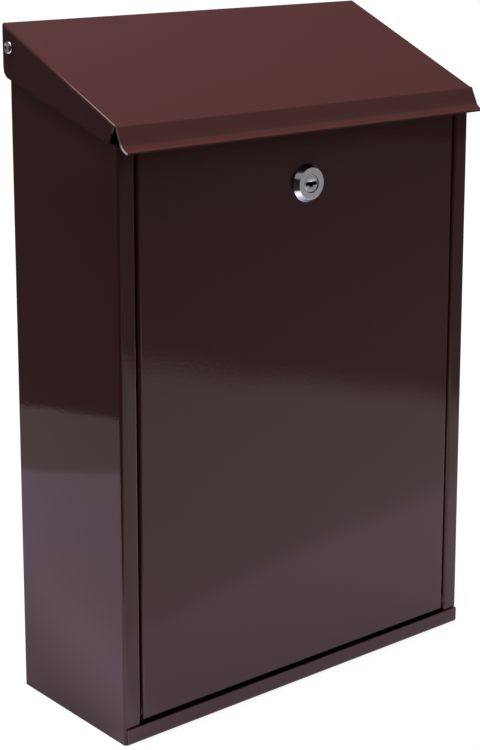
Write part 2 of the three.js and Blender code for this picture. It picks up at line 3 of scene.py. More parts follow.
import bmesh
import bpy
import numpy as np
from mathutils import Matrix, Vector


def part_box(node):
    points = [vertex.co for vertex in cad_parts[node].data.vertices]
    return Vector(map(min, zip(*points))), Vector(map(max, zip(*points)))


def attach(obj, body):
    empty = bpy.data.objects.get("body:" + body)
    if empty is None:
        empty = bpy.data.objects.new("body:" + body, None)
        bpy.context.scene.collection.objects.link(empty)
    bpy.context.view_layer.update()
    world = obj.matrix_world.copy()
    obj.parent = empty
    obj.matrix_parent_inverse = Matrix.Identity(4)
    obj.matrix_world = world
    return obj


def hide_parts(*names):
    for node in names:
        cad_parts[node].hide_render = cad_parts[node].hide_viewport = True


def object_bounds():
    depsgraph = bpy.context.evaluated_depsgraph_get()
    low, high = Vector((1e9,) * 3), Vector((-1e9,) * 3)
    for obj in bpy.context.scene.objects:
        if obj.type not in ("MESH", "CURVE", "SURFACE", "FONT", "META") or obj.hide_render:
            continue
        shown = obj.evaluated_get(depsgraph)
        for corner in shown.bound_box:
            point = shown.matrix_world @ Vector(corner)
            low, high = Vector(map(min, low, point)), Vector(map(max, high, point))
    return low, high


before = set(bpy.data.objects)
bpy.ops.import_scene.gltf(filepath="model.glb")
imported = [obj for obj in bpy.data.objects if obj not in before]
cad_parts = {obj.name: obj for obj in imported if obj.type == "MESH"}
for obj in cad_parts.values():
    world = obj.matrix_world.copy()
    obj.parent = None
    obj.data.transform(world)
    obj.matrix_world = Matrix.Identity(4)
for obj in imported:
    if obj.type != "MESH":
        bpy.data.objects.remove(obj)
cad_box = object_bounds()

# ------------------------------------------------------------------ camera
# The box is seen from its left and a little above, with a long lens, as a product is usually shown.
# Places here are in metres in the frame of the part: the origin is on the wall, between the screws.
degrees_down = 11.381
degrees_right = 39.768
camera = bpy.data.objects.new("camera", bpy.data.cameras.new("camera"))
bpy.context.scene.collection.objects.link(camera)
bpy.context.scene.camera = camera
camera.location = (-0.652108, -0.835088, 0.285003)
camera.rotation_euler = (math.radians(90 - degrees_down), 0, math.radians(-degrees_right))
camera.data.sensor_width = 36
camera.data.lens = 84.943
camera.data.shift_y = -0.2
camera.data.clip_start = 0.01
bpy.context.scene.view_settings.view_transform = "Standard"


# ------------------------------------------------------------------ floor and studio
# A pale table stands under the box and dark cloth hangs round it, for the gloss paint to mirror.
# One big soft lamp hangs overhead. Where the camera sees past the box, floor and room are white.
def linear(hex_colour):
    """Each sRGB channel, divided by 12.92 where dark and otherwise on a power of 2.4."""
    srgb = np.array([int(hex_colour[i:i + 2], 16) / 255 for i in (1, 3, 5)])
    rgb = np.where(srgb <= 0.04045, srgb / 12.92, ((srgb + 0.055) / 1.055) ** 2.4)
    return (*rgb.tolist(), 1.0)


def add(tree, kind, links=None, **settings):
    """Adds a node. Its settings are attributes, and links give sockets an output to join or a value."""
    made = tree.nodes.new(kind)
    for name, value in settings.items():
        setattr(made, name, value)
    for socket, value in (links or {}).items():
        if isinstance(value, bpy.types.NodeSocket):
            tree.links.new(value, made.inputs[socket])
        else:
            made.inputs[socket].default_value = value
    return made


def new_material(name):
    """An empty material and its node tree."""
    made = bpy.data.materials.new(name)
    made.use_nodes = True
    made.node_tree.nodes.clear()
    return made, made.node_tree


def add_mesh(name, points, faces):
    """A new object in the scene, from a list of points and a list of the corners of each face."""
    mesh = bpy.data.meshes.new(name)
    mesh.from_pydata(points, [], faces)
    made = bpy.data.objects.new(name, mesh)
    bpy.context.scene.collection.objects.link(made)
    return made


floor_height = cad_box[0][2]
reach = 30.0
floor = add_mesh(
    "floor",
    [(-reach, -reach, floor_height), (reach, -reach, floor_height),
     (reach, reach, floor_height), (-reach, reach, floor_height)],
    [(0, 1, 2, 3)],
)

# White paper lies on a grey table, on a dark floor. To the camera all three are plain white, and
# keep a soft shadow. Each edge is a line in plan: along_x * x + along_y * y + offset, positive inside,
# and the fourth number is how far its softness reaches inwards.
ground, tree = new_material("paper_on_table")
place = add(tree, "ShaderNodeTexCoord").outputs["Object"]


def covered(edges):
    """Product over the edges of a smooth step, from 0 on the edge to 1 once its softness is passed."""
    product = 1.0
    for along_x, along_y, offset, softness in edges:
        across = add(tree, "ShaderNodeVectorMath", {0: place, 1: (along_x, along_y, 0)},
                     operation="DOT_PRODUCT")
        step = add(tree, "ShaderNodeMapRange", {
            "Value": across.outputs["Value"], "From Min": -offset, "From Max": softness - offset,
        }, interpolation_type="SMOOTHSTEP")
        product = add(tree, "ShaderNodeMath", {0: product, 1: step.outputs["Result"]},
                      operation="MULTIPLY").outputs[0]
    return product


near_corner = (0.838, 0.545, 0.374, 0.020)
table = covered([
    (0.913, -0.408, 0.582, 0.010),  # left
    (-0.870, 0.492, 0.698, 0.120),  # right
    (0, 1, 1.6, 0.1),  # front
    (0, -1, 1.6, 0.1),  # back
    near_corner,
])
paper = covered([
    (0.778, -0.628, 0.467, 0.015),  # left
    (0.176, 0.984, 0.2525, 0.045),  # front
    (-1, 0, 0.7, 0.03),  # right
    (0, -1, 0.7, 0.03),  # back
    near_corner,
])

# The table is greyer on the left, where the box's side mirrors it, than in front of the box.
# (A Mix node's sockets 2 and 3 are the two numbers that it mixes, and 6 and 7 the two colours.)
dark_floor = linear("#2e2c2c")
grey_left, grey_right = linear("#b0acac"), linear("#c2bebe")
white_paper = linear("#e6d7ee")
on_right = covered([(1, 0, 0.25, 0.10)])
table_tone = add(tree, "ShaderNodeMix", {"Factor": on_right, 6: grey_left, 7: grey_right},
                 data_type="RGBA")
bare_tone = add(tree, "ShaderNodeMix", {"Factor": table, 6: dark_floor, 7: table_tone.outputs[2]},
                data_type="RGBA")
papered_tone = add(tree, "ShaderNodeMix", {"Factor": paper, 6: bare_tone.outputs[2], 7: white_paper},
                   data_type="RGBA")

# The ground's tone is dimmed from the foot of the box's left side rightwards and back, which stands in
# for the shade of the box and the wall there.
shaded_share = 0.45
foot = covered([(1, 0.3, 0.195, 0.050), (0, 1, 0.11, 0.02)])
shade = add(tree, "ShaderNodeMapRange", {"Value": foot, "To Min": 1.0, "To Max": shaded_share})
tone = add(tree, "ShaderNodeVectorMath", {
    0: papered_tone.outputs[2], "Scale": shade.outputs["Result"],
}, operation="SCALE")
matt = add(tree, "ShaderNodeBsdfDiffuse", {"Color": tone.outputs[0]})

# In the gloss paint the ground also glows, by a share of its own tone and by a few pale patches:
# painted reflections that only glossy rays see, and that light nothing.
left_share, right_share = 0.45, 0.52
share = add(tree, "ShaderNodeMix", {"Factor": on_right, 2: left_share, 3: right_share})
# Each patch is a painted glow that only the reflections show.
glow_patches = [
    ([(1, 0, 0.25, 0.10), (0, 1, 1.95, 0.45)], 0.20),  # from just left of the box rightwards
    ([(0, 1, -0.05, 0.20)], 0.06),  # behind the wall
    ([(0, 1, -1.30, 0.50)], 0.04),  # far behind the wall
    ([(-1, 0, -0.08, 0.04), (1, 0, 0.36, 0.03), (0, -1, -0.11, 0.03)], 0.45),  # a strip in front, on the left
]
painted_glow = 0.0
for edges, most in glow_patches:
    glow_patch = add(tree, "ShaderNodeMapRange", {"Value": covered(edges), "To Max": most})
    painted_glow = add(tree, "ShaderNodeMath", {0: painted_glow, 1: glow_patch.outputs["Result"]}, operation="ADD").outputs[0]
mirrored = add(tree, "ShaderNodeVectorMath", {0: tone.outputs[0], 1: share.outputs[0], 2: painted_glow},
               operation="MULTIPLY_ADD")
ray = add(tree, "ShaderNodeLightPath")
in_gloss = add(tree, "ShaderNodeEmission", {
    "Color": mirrored.outputs[0], "Strength": ray.outputs["Is Glossy Ray"],
})
unseen = add(tree, "ShaderNodeAddShader", {0: matt.outputs[0], 1: in_gloss.outputs[0]})

# The camera's white is a little dimmer close to the box, and a pale matt coat takes the soft shadow.
near_by, far_off = 0.25, 1.3
near_white = 0.88
distance = add(tree, "ShaderNodeVectorMath", {0: place}, operation="LENGTH")
glow = add(tree, "ShaderNodeMapRange", {
    "Value": distance.outputs["Value"], "From Min": near_by, "From Max": far_off,
    "To Min": near_white, "To Max": 1.0,
})
white = add(tree, "ShaderNodeEmission", {"Color": (1, 1, 1, 1), "Strength": glow.outputs["Result"]})
pale = add(tree, "ShaderNodeBsdfDiffuse", {"Color": (0.3, 0.3, 0.3, 1)})
seen = add(tree, "ShaderNodeAddShader", {0: white.outputs[0], 1: pale.outputs[0]})
solid = add(tree, "ShaderNodeMixShader", {
    0: ray.outputs["Is Camera Ray"], 1: unseen.outputs[0], 2: seen.outputs[0],
})

# The box really hangs on a wall, so the table is clear in front of it, where the open door hangs lower.
sight = add(tree, "ShaderNodeMath", {0: ray.outputs["Is Camera Ray"], 1: ray.outputs["Is Shadow Ray"]},
            operation="MAXIMUM")
under_door = covered([(0, -1, -0.112, 0.01), (0, 1, 1.1, 0.1), (1, 0, 0.8, 0.1), (-1, 0, 0.8, 0.1)])
clear = add(tree, "ShaderNodeMath", {0: sight.outputs[0], 1: under_door}, operation="MULTIPLY")
gone = add(tree, "ShaderNodeBsdfTransparent")
shown = add(tree, "ShaderNodeMixShader", {0: clear.outputs[0], 1: solid.outputs[0], 2: gone.outputs[0]})
add(tree, "ShaderNodeOutputMaterial", {"Surface": shown.outputs[0]})
floor.data.materials.append(ground)

# The world is white where it is seen, and only faintly lit otherwise.
world = bpy.data.worlds.new("studio")
bpy.context.scene.world = world
world.use_nodes = True
tree = world.node_tree
tree.nodes.clear()
ray = add(tree, "ShaderNodeLightPath")
visible = add(tree, "ShaderNodeMath", {0: ray.outputs["Is Camera Ray"], 1: ray.outputs["Is Glossy Ray"]},
              operation="MAXIMUM")
visible = add(tree, "ShaderNodeMath", {0: visible.outputs[0], 1: ray.outputs["Is Transmission Ray"]},
              operation="MAXIMUM")
dim = add(tree, "ShaderNodeBackground", {"Color": (1, 1, 1, 1), "Strength": 0.165})
white = add(tree, "ShaderNodeBackground", {"Color": (1, 1, 1, 1), "Strength": 1.0})
shown = add(tree, "ShaderNodeMixShader", {0: visible.outputs[0], 1: dim.outputs[0], 2: white.outputs[0]})
add(tree, "ShaderNodeOutputWorld", {"Surface": shown.outputs[0]})


def tent(name, radius, low, high, centre_y=-0.05, steps=48):
    """A round wall and its flat roof: radius * (cos, sin) of each angle at the low and the high level,
    and one point in the middle of the roof."""
    angle = np.linspace(0, 2 * np.pi, steps, endpoint=False)
    circle = np.stack([radius * np.cos(angle), radius * np.sin(angle) + centre_y], axis=1)
    rings = [np.column_stack([circle, np.full(steps, z)]) for z in (low, high)]
    points = np.concatenate([*rings, [[0, centre_y, high]]])
    i = np.arange(steps)
    j = (i + 1) % steps
    wall = np.stack([i, i + steps, j + steps, j], axis=1)
    roof = np.stack([i + steps, np.full(steps, 2 * steps), j + steps], axis=1)
    return add_mesh(name, points.tolist(), wall.tolist() + roof.tolist())


# Dark cloth hangs round the table and over it. Only the gloss of the paint and the metal mirrors it.
# It is no lamp and lights nothing: its uneven glow below is painted light, seen only in reflections.
cloth = tent("dark_surround", 2.2, floor_height - 0.01, floor_height + 3.0)
cloth.visible_camera = False
cloth.visible_diffuse = False
cloth.visible_shadow = False
cloth.visible_transmission = False
painted_cloth_glow, tree = new_material("dark_felt")
place = add(tree, "ShaderNodeTexCoord").outputs["Object"]
at = add(tree, "ShaderNodeSeparateXYZ", {0: place})

# The cloth is dim at the table, brightens from 0.05 m over the screws' middle to 0.3 m, and dims again
# to 1 m.
low_z, peak_z, high_z = 0.05, 0.30, 1.0
low_share, peak_level, high_level = 0.15, 0.7, 0.08
rise = add(tree, "ShaderNodeMapRange", {
    "Value": at.outputs["Z"], "From Min": low_z, "From Max": peak_z, "To Min": low_share,
})
level = add(tree, "ShaderNodeMapRange", {
    "Value": at.outputs["Z"], "From Min": peak_z, "From Max": high_z,
    "To Min": peak_level, "To Max": high_level,
})
level = add(tree, "ShaderNodeMath", {0: level.outputs["Result"], 1: rise.outputs["Result"]},
            operation="MULTIPLY")

# In front on the left it is nearly black as far as 0.95 m, and glows brighter above that.
dark_z, lit_z = 0.95, 1.15
dark_level, lit_level = 0.02, 0.28
diagonal = add(tree, "ShaderNodeMath", {0: at.outputs["X"], 1: at.outputs["Y"]}, operation="ADD")
front_left = add(tree, "ShaderNodeMapRange", {
    "Value": diagonal.outputs[0], "From Min": -0.8, "From Max": -1.6,
})
band = add(tree, "ShaderNodeMapRange", {
    "Value": at.outputs["Z"], "From Min": dark_z, "From Max": lit_z,
    "To Min": dark_level, "To Max": lit_level,
})
level = add(tree, "ShaderNodeMix", {
    "Factor": front_left.outputs["Result"], 2: level.outputs[0], 3: band.outputs["Result"],
})

# Higher up, the far wall glows bluish and fades to the right, and the wall in front on the right glows.
far_left_level, far_right_level, front_right_level = 0.135, 0.04, 0.22
warm, bluish = (1.0, 0.95, 0.95, 1), (1.0, 1.0, 1.45, 1)
overhead = add(tree, "ShaderNodeMapRange", {"Value": at.outputs["Z"], "From Min": 1.0, "From Max": 1.25})
far = add(tree, "ShaderNodeMapRange", {"Value": at.outputs["Y"], "From Min": 0.6, "From Max": 1.0})
behind = add(tree, "ShaderNodeMath", {0: far.outputs[0], 1: overhead.outputs[0]}, operation="MULTIPLY")
rightward = add(tree, "ShaderNodeVectorMath", {0: place, 1: (1, 0.3, 0)}, operation="DOT_PRODUCT")
fade = add(tree, "ShaderNodeMapRange", {
    "Value": rightward.outputs["Value"], "From Min": 1.95, "From Max": 2.32,
    "To Min": far_left_level, "To Max": far_right_level,
})
level = add(tree, "ShaderNodeMix", {"Factor": behind.outputs[0], 2: level.outputs[0], 3: fade.outputs[0]})
right_and_forward = add(tree, "ShaderNodeVectorMath", {0: place, 1: (1, -1, 0)}, operation="DOT_PRODUCT")
front_right = add(tree, "ShaderNodeMapRange", {
    "Value": right_and_forward.outputs["Value"], "From Min": 2.2, "From Max": 2.6,
})
front_right = add(tree, "ShaderNodeMath", {0: front_right.outputs[0], 1: overhead.outputs[0]},
                  operation="MULTIPLY")
level = add(tree, "ShaderNodeMix", {
    "Factor": front_right.outputs[0], 2: level.outputs[0], 3: front_right_level,
})
hue = add(tree, "ShaderNodeMix", {"Factor": behind.outputs[0], 6: warm, 7: bluish}, data_type="RGBA")
lit = add(tree, "ShaderNodeEmission", {"Color": hue.outputs[2], "Strength": level.outputs[0]})
add(tree, "ShaderNodeOutputMaterial", {"Surface": lit.outputs[0]})
cloth.data.materials.append(painted_cloth_glow)

# The lamp is a softbox, a lit rectangle that hangs over the box and points down at it.
lamp_place = np.array([-0.15, -0.025, 1.5])
lamp_aim = np.array([0, -0.05, 0.1])
lamp = bpy.data.lights.new("overhead", "AREA")
lamp.shape = "RECTANGLE"
lamp.size = 0.9
lamp.size_y = 0.69
lamp.energy = 19.4
softbox = bpy.data.objects.new("overhead", lamp)
bpy.context.scene.collection.objects.link(softbox)
softbox.location = lamp_place
back = lamp_place - lamp_aim
softbox.rotation_euler = (math.atan2(math.hypot(back[0], back[1]), back[2]), 0,
                          math.atan2(back[0], -back[1]))

# ------------------------------------------------------------------ body, bottom pan and rail
# The body is one zinc-coated steel sheet, 1 mm thick, folded into a back, two sides and two stiles.
# The bottom pan and the rail over the door are folded from the same sheet and spot-welded into it.
mm = 0.001

# Gloss powder paint, sprayed dry and baked: a smooth hard skin that flows out with a faint orange
# peel, over sheet that isn't quite flat, so what it mirrors has soft, slightly wavy edges.
peel_size, peel_depth = 2.2 * mm, 0.012 * mm
sway_size, sway_depth = 70 * mm, 0.4 * mm
paint, tree = new_material("gloss_brown_powder_coat")
place = add(tree, "ShaderNodeTexCoord").outputs["Object"]
peel = add(tree, "ShaderNodeTexNoise", {
    "Vector": place, "Scale": 1 / peel_size, "Detail": 1.0, "Roughness": 0.4,
})
peel_bump = add(tree, "ShaderNodeBump", {
    "Height": peel.outputs["Fac"], "Strength": 1.0, "Distance": peel_depth,
})
sway = add(tree, "ShaderNodeTexNoise", {"Vector": place, "Scale": 1 / sway_size, "Detail": 0.0})
sway_bump = add(tree, "ShaderNodeBump", {
    "Height": sway.outputs["Fac"], "Strength": 1.0, "Distance": sway_depth,
    "Normal": peel_bump.outputs["Normal"],
})

# A near-white highlight is painted on the two sheared ends of the lid's flange: faintly along the
# flange, and fully round its lip. Each pair says where that starts and is complete.
end_x = 131.20 * mm, 131.45 * mm
flange_y = -111.0 * mm, -111.6 * mm
lip_z = 148.4 * mm, 147.0 * mm
highlight_along_flange = 0.16
at = add(tree, "ShaderNodeSeparateXYZ", {0: place})
sideways = add(tree, "ShaderNodeMath", {0: at.outputs["X"]}, operation="ABSOLUTE")
at_end = add(tree, "ShaderNodeMapRange", {
    "Value": sideways.outputs[0], "From Min": end_x[0], "From Max": end_x[1],
})
on_flange = add(tree, "ShaderNodeMapRange", {
    "Value": at.outputs["Y"], "From Min": flange_y[0], "From Max": flange_y[1],
})
at_lip = add(tree, "ShaderNodeMapRange", {
    "Value": at.outputs["Z"], "From Min": lip_z[0], "From Max": lip_z[1], "To Min": highlight_along_flange,
})
end_highlight = add(tree, "ShaderNodeMath", {0: at_end.outputs["Result"], 1: on_flange.outputs["Result"]},
           operation="MULTIPLY")
end_highlight = add(tree, "ShaderNodeMath", {0: end_highlight.outputs[0], 1: at_lip.outputs["Result"]},
           operation="MULTIPLY")
# The near-white is the painted highlight at the flange's ends.
brown, highlight_white = linear("#59322f"), linear("#faf8f8")
colour = add(tree, "ShaderNodeMix", {"Factor": end_highlight.outputs[0], 6: brown, 7: highlight_white},
             data_type="RGBA")
coat = add(tree, "ShaderNodeBsdfPrincipled", {
    "Base Color": colour.outputs[2], "Roughness": 0.045, "IOR": 1.42,
    "Normal": sway_bump.outputs["Normal"],
})
add(tree, "ShaderNodeOutputMaterial", {"Surface": coat.outputs[0]})


def finish(piece, material, body, nodes, edge):
    """Gives the piece its material, rounds the cut edges by the given radius and evens the shading.
    It hangs the piece on its body and hides the parts it stands for.
    """
    piece.data.shade_smooth()
    piece.data.materials.clear()
    piece.data.materials.append(material)
    rounding = piece.modifiers.new("edge", "BEVEL")
    rounding.width = edge
    rounding.segments = 3
    rounding.limit_method = "ANGLE"
    rounding.angle_limit = math.radians(50)
    even = piece.modifiers.new("even", "WEIGHTED_NORMAL")
    even.keep_sharp = False
    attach(piece, body)
    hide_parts(*nodes)


touching = 0.002 * mm
flat_within = math.radians(0.5)


def merged(name, source):
    """A copy of a mesh with its touching corners joined and its flat faces made whole."""
    mesh = source.copy()
    shape = bmesh.new()
    shape.from_mesh(mesh)
    bmesh.ops.remove_doubles(shape, verts=shape.verts, dist=touching)
    bmesh.ops.dissolve_limit(shape, angle_limit=flat_within, verts=shape.verts, edges=shape.edges)
    shape.to_mesh(mesh)
    shape.free()
    piece = bpy.data.objects.new(name, mesh)
    bpy.context.scene.collection.objects.link(piece)
    return piece


for node in ("body_shell", "bottom_pan", "top_rail"):
    folded_sheet = merged(f"{node}_sheet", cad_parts[node].data)
    finish(folded_sheet, paint, "box", [node], edge=0.25 * mm)

# ------------------------------------------------------------------ lid
# The lid is folded from one sheet: a sloping roof, a tapered skirt down each side with a rounded ear
# at the rear, and a flange that leans forward in front and ends in a lip curved out to lift it by.
lid_half, lid_rear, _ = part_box("lid")[1]
sheet = 1.0 * mm
roof_angle = math.radians(23.7)
bend = 1.15 * mm
fold_place = np.array([-111.2, 156.5]) * mm
flange_fall = np.array([-4.3, -9.0]) * mm
# The lip is an arc of lip_chords chords, each lip_chord long, from lip_from to lip_to degrees.
lip_chord = 2.15 * mm
lip_from, lip_to, lip_chords = 58.75, 6.25, 3
skirt_start = 2.2 * mm
skirt_foot = np.array([7.0, -12.6]) * mm
skirt_foot_radius = 1.0 * mm
skirt_rear = 29.0 * mm
ear_radius = 5.5 * mm


def roof_height(y):
    """The fold's height plus the distance behind the fold times the slope."""
    return fold_place[1] + (y - fold_place[0]) * math.tan(roof_angle)


def folded(corners, radius, steps=8):
    """Straight legs joined by arcs. Each arc starts radius * tan(turn / 2) before its corner and turns
    evenly from one leg's direction to the next: radius * sin(angle) along, radius * (1 - cos) aside."""
    corners = np.asarray(corners, float)
    legs = np.diff(corners, axis=0)
    legs /= np.linalg.norm(legs, axis=1, keepdims=True)
    before, after = legs[:-1], legs[1:]
    cross = before[:, 0] * after[:, 1] - before[:, 1] * after[:, 0]
    turn = np.arctan2(np.abs(cross), np.sum(before * after, axis=1))
    aside = np.sign(cross)[:, None] * np.stack([-before[:, 1], before[:, 0]], axis=1)
    radius = np.broadcast_to(np.asarray(radius, float), turn.shape)
    start = corners[1:-1] - before * (radius * np.tan(turn / 2))[:, None]
    angle = turn[:, None] * np.linspace(0, 1, steps + 1)
    arcs = (start[:, None] + (radius[:, None] * np.sin(angle))[..., None] * before[:, None]
            + (radius[:, None] * (1 - np.cos(angle)))[..., None] * aside[:, None])
    return np.concatenate([corners[:1], arcs.reshape(-1, 2), corners[-1:]])


def spaced(line, count):
    """The same line with its points spread evenly along its length, by straight interpolation between
    its own points over the length run so far."""
    along = np.concatenate([[0], np.cumsum(np.linalg.norm(np.diff(line, axis=0), axis=1))])
    share = np.linspace(0, along[-1], count)
    return np.stack([np.interp(share, along, line[:, k]) for k in range(line.shape[1])], axis=1)


def surface(name, grids, outward=False):
    """One mesh from grids of points, each cell a quad. Corners that meet are joined; a solid that was
    turned on an axis has its faces pointed outwards."""
    points = np.concatenate([grid.reshape(-1, 3) for grid in grids])
    faces = []
    first = 0
    for grid in grids:
        rows, columns = grid.shape[:2]
        index = first + np.arange(rows * columns).reshape(rows, columns)
        cells = np.stack([index[:-1, :-1], index[1:, :-1], index[1:, 1:], index[:-1, 1:]], axis=-1)
        faces.append(cells.reshape(-1, 4))
        first += rows * columns
    piece = add_mesh(name, points.tolist(), np.concatenate(faces).tolist())
    shape = bmesh.new()
    shape.from_mesh(piece.data)
    bmesh.ops.remove_doubles(shape, verts=shape.verts, dist=touching)
    if outward:
        bmesh.ops.recalc_face_normals(shape, faces=shape.faces)
    shape.to_mesh(piece.data)
    shape.free()
    return piece


# The middle of the lid: a path from the rear edge down the roof, over the fold, down the flange and
# round the lip. Its points stand closer together towards the fold.
bends = folded([(lid_rear, roof_height(lid_rear)), fold_place, fold_place + flange_fall], bend)
roof_rows = np.concatenate([np.linspace(0, 0.97, 34), np.linspace(0.974, 1, 12)])[:-1, None]
roof_path = bends[0] + (bends[1] - bends[0]) * roof_rows
angle = np.radians(np.linspace(lip_from, lip_to, 16))
lip_radius = lip_chord / (2 * math.sin(math.radians((lip_from - lip_to) / lip_chords / 2)))
lip_path = bends[-1] + lip_radius * np.stack(
    [np.sin(angle) - np.sin(angle[0]), np.cos(angle[0]) - np.cos(angle)], axis=1)
path = np.concatenate([roof_path, bends[1:-1], spaced(bends[-2:], 4)[1:], lip_path[1:]])

# Across the path lies a flat width whose ends turn down by a quarter circle. Just behind the fold they
# rise level again by a smooth step, 3 t^2 - 2 t^3, so the flange is flat to its ends.
fold_y = path[len(roof_path), 0]
step = np.clip((path[:, 0] - fold_y) / (skirt_start - (fold_y - fold_place[0])), 0, 1)
turned_down = (step ** 2 * (3 - 2 * step))[:, None]
quarter = np.linspace(0, 1, 9)
flat = lid_half - bend
end_strip = 0.5 * mm
level_ends = flat + bend * quarter
turned_ends = flat + bend * np.sin(quarter * np.pi / 2)
fall = bend * (1 - np.cos(quarter * np.pi / 2)) / math.cos(roof_angle)
middle = np.concatenate([[-flat + end_strip], np.linspace(-flat, flat, 25)[1:-1], [flat - end_strip]])
across, across_turned = (np.concatenate([-ends[::-1], middle, ends]) for ends in (level_ends, turned_ends))
fall = np.concatenate([fall[::-1], 0 * middle, fall])
main = np.stack([
    turned_down * across_turned + (1 - turned_down) * across,
    np.broadcast_to(path[:, :1], (len(path), len(across))),
    path[:, 1:] - turned_down * fall,
], axis=-1)

# Each skirt is flat: straight lines from its bend to its outline, at even shares of both, with one
# more row of points close under the bend.
rows = int(np.sum(path[:, 0] >= fold_place[0] + skirt_start))
top = main[:rows, -1, 1:]
foot_y = fold_place[0] + skirt_foot[0]
outline = folded([
    top[0],
    (lid_rear, roof_height(lid_rear) - skirt_rear),
    (foot_y, roof_height(foot_y) + skirt_foot[1]),
    top[-1],
], [ear_radius, skirt_foot_radius])
outline = spaced(outline, rows)
share = np.concatenate([[0, 0.03], np.linspace(0, 1, 9)[1:]])[None, :, None]
skirt = top[:, None] * (1 - share) + outline[:, None] * share
right = np.concatenate([np.full(skirt.shape[:2] + (1,), lid_half), skirt], axis=-1)
left = (right * [-1, 1, 1])[:, ::-1]
lid = surface("lid_sheet", [left, main, right])
thickness = lid.modifiers.new("sheet", "SOLIDIFY")
thickness.thickness = sheet
thickness.offset = -1
finish(lid, paint, "lid", ["lid"], edge=0.42 * mm)
lid.modifiers["edge"].harden_normals = True
lid.modifiers.remove(lid.modifiers["even"])

# ------------------------------------------------------------------ lid rivets and their washers
# The lid turns on two aluminium blind rivets. The head is a low dome with the stub of the broken
# mandrel in its middle, and the tail is set against a steel washer inside the body.
pivot = np.array([-12.8, 189.395]) * mm
head_gap = 0.3 * mm
head = (lid_half + head_gap) / mm


def turned(name, rings, axis, centre):
    """A solid of rings about an axis through the centre: a point is at its ring's place along the axis,
    and at its ring's radius in the direction of its angle."""
    radius, along = rings
    steps = radius.shape[1]
    angle = np.linspace(0, 2 * np.pi, steps)
    u, v = radius * np.cos(angle), radius * np.sin(angle)
    along = np.broadcast_to(along[:, None], u.shape)
    if axis == "x":
        grid = np.stack([along, centre[0] + u, centre[1] + v], axis=-1)
    else:
        grid = np.stack([centre[0] + u, along, centre[1] + v], axis=-1)
    return surface(name, [grid], outward=True)


def round_rings(profile, steps=73):
    """A profile of (radius, place) points as rings that are all circles."""
    profile = np.asarray(profile, float)
    return np.repeat(profile[:, :1], steps, axis=1), profile[:, 1]


# Blind rivet alloy is drawn bright and tumbled, so it is smooth but not a mirror, with tiny dents.
dent_size, dent_depth = 0.8 * mm, 0.03 * mm
alloy, tree = new_material("tumbled_aluminium")
place = add(tree, "ShaderNodeTexCoord").outputs["Object"]
dents = add(tree, "ShaderNodeTexNoise", {"Vector": place, "Scale": 1 / dent_size, "Detail": 2.0})
dent_bump = add(tree, "ShaderNodeBump", {
    "Height": dents.outputs["Fac"], "Strength": 0.6, "Distance": dent_depth,
})
metal = add(tree, "ShaderNodeBsdfPrincipled", {
    "Base Color": linear("#d4d4d6"), "Metallic": 1.0, "Roughness": 0.22,
    "Normal": dent_bump.outputs["Normal"],
})
add(tree, "ShaderNodeOutputMaterial", {"Surface": metal.outputs[0]})

# The profile is in millimetres, as (radius, place): the set tail, the shank, the head's rim and dome,
# the hole in the head and the stub inside it.
shank_radius, rim_radius, rim_inset, rim_edge = 1.9, 3.5, 0.05, 0.08
tail_profile = np.array([(0, 0), (2.1, 0), (3.0, 1.0), (2.9, 2.0), (shank_radius, 2.0)])
tail_radii = [0.4, 0.5, 0.2]
stub_profile = np.array([(1.85, 1.44), (1.6, 1.2), (1.6, 0.5), (0.85, 0.5), (0.85, 1.1), (0.0, 1.2)])
stub_radii = [0.1, 0.1, 0.1, 0.3]
dome = np.radians(np.linspace(4, 68, 12))
dome_inner, dome_outer, dome_foot, dome_rise = 1.2, 2.3, 0.15, 1.344

for sign, side in ((-1, "left"), (1, "right")):
    tail = min(abs(corner[0]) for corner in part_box(f"lid_rivet_{side}")) / mm
    profile = np.concatenate([
        folded(tail_profile + [0, tail], tail_radii),
        [(shank_radius, head), (rim_radius - rim_inset, head), (rim_radius, head + rim_edge)],
        np.stack([dome_inner + dome_outer * np.cos(dome),
                  head + dome_foot + dome_rise * np.sin(dome) / math.sin(dome[-1])], axis=1),
        folded(stub_profile + [0, head], stub_radii, steps=4),
    ])
    rivet = turned(f"lid_rivet_turned_{side}", round_rings(profile * [mm, sign * mm]), "x", pivot)
    finish(rivet, alloy, "box", [f"lid_rivet_{side}"], edge=0.05 * mm)

# Bright zinc plate on the small steel parts: thin, bluish and smooth over the stamped surface, in
# cloudy patches that are more or less bright.
cloud_size = 3 * mm
zinc, tree = new_material("bright_zinc_plate")
place = add(tree, "ShaderNodeTexCoord").outputs["Object"]
cloud = add(tree, "ShaderNodeTexNoise", {"Vector": place, "Scale": 1 / cloud_size, "Detail": 3.0})
rough = add(tree, "ShaderNodeMapRange", {"Value": cloud.outputs["Fac"], "To Min": 0.24, "To Max": 0.46})
metal = add(tree, "ShaderNodeBsdfPrincipled", {
    "Base Color": linear("#b4b9be"), "Metallic": 1.0, "Roughness": rough.outputs["Result"],
})
add(tree, "ShaderNodeOutputMaterial", {"Surface": metal.outputs[0]})
for side in ("left", "right"):
    washer = merged(f"lid_backing_washer_plated_{side}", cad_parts[f"lid_backing_washer_{side}"].data)
    finish(washer, zinc, "box", [f"lid_backing_washer_{side}"], edge=0.08 * mm)

# ------------------------------------------------------------------ door
# The door is a shallow pan of the same sheet, painted as the body is. Its four edges are folded back
# and its corners slit, and the lock is fixed through a hole near its top.
door = merged("door_panel_sheet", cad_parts["door_panel"].data)
finish(door, paint, "door", ["door_panel"], edge=0.3 * mm)

# ------------------------------------------------------------------ door hinge washers and pins
# The door turns at its foot on two zinc-plated steel pins, riveted through its side folds and the
# inward folds of the body's stiles. A black nylon washer on each pin keeps the two sheets apart.

